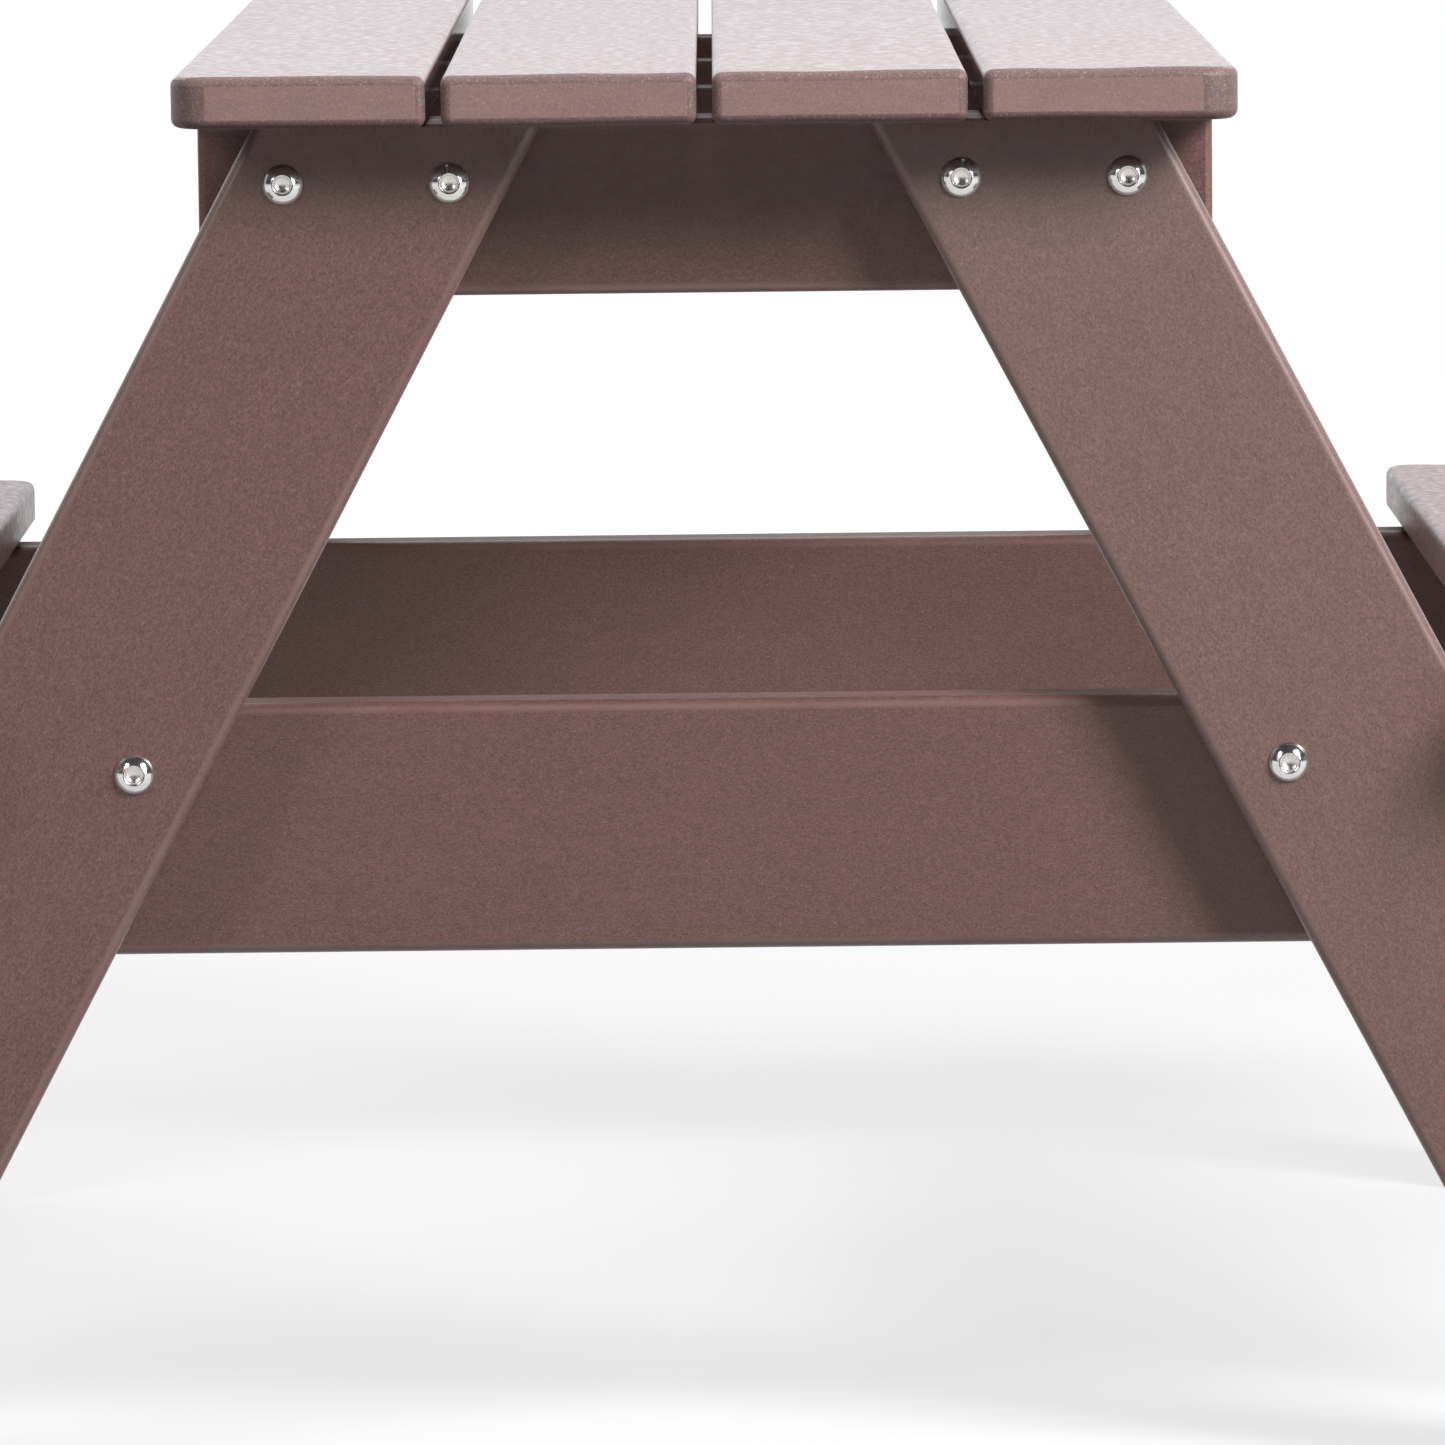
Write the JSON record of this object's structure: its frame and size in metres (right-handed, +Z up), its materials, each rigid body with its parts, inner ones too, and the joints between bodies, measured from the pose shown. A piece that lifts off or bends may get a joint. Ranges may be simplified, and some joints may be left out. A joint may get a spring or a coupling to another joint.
{
  "type": "picnic table",
  "caption": "Child-size A-frame picnic table with attached benches, in brown recycled-plastic lumber bolted together with stainless button-head bolts.",
  "frame": {"origin": "centre of the table's footprint at floor level", "axes": "+X across the table from one bench to the other, +Y along the tabletop's length, +Z up"},
  "size_m": [0.938, 0.736, 0.508],
  "materials": {
    "board_plastic": "brown recycled-plastic lumber, fine flecks, satin sheen at grazing angles",
    "frame_plastic": "brown recycled-plastic lumber, mottled and streaked along its length, rubbed paler along the edges",
    "stainless_steel": "polished stainless steel"
  },
  "bodies": {
    "root": {"tabletop_board_1": "board_plastic", "tabletop_board_2": "board_plastic", "tabletop_board_3": "board_plastic", "tabletop_board_4": "board_plastic", "seat_left_inner_board": "board_plastic", "seat_left_outer_board": "board_plastic", "seat_right_inner_board": "board_plastic", "seat_right_outer_board": "board_plastic", "crossbeam_near": "frame_plastic", "crossbeam_far": "frame_plastic", "batten_near": "frame_plastic", "batten_far": "frame_plastic", "leg_near_left": "frame_plastic", "leg_near_right": "frame_plastic", "leg_far_left": "frame_plastic", "leg_far_right": "frame_plastic", "seat_rail_near": "frame_plastic", "seat_rail_far": "frame_plastic", "seat_left_cleat": "frame_plastic", "seat_right_cleat": "frame_plastic", "bolt_near_left_beam_inner": "stainless_steel", "bolt_near_left_beam_outer": "stainless_steel", "bolt_near_left_rail_upper": "stainless_steel", "bolt_near_left_rail_lower": "stainless_steel", "bolt_near_right_beam_inner": "stainless_steel", "bolt_near_right_beam_outer": "stainless_steel", "bolt_near_right_rail_upper": "stainless_steel", "bolt_near_right_rail_lower": "stainless_steel", "bolt_far_left_beam_inner": "stainless_steel", "bolt_far_left_beam_outer": "stainless_steel", "bolt_far_left_rail_upper": "stainless_steel", "bolt_far_left_rail_lower": "stainless_steel", "bolt_far_right_beam_inner": "stainless_steel", "bolt_far_right_beam_outer": "stainless_steel", "bolt_far_right_rail_upper": "stainless_steel", "bolt_far_right_rail_lower": "stainless_steel", "nut_near_left_beam_inner": "stainless_steel", "nut_near_left_beam_outer": "stainless_steel", "nut_near_left_rail_upper": "stainless_steel", "nut_near_left_rail_lower": "stainless_steel", "nut_near_right_beam_inner": "stainless_steel", "nut_near_right_beam_outer": "stainless_steel", "nut_near_right_rail_upper": "stainless_steel", "nut_near_right_rail_lower": "stainless_steel", "nut_far_left_beam_inner": "stainless_steel", "nut_far_left_beam_outer": "stainless_steel", "nut_far_left_rail_upper": "stainless_steel", "nut_far_left_rail_lower": "stainless_steel", "nut_far_right_beam_inner": "stainless_steel", "nut_far_right_beam_outer": "stainless_steel", "nut_far_right_rail_upper": "stainless_steel", "nut_far_right_rail_lower": "stainless_steel"}
  },
  "joints": []
}
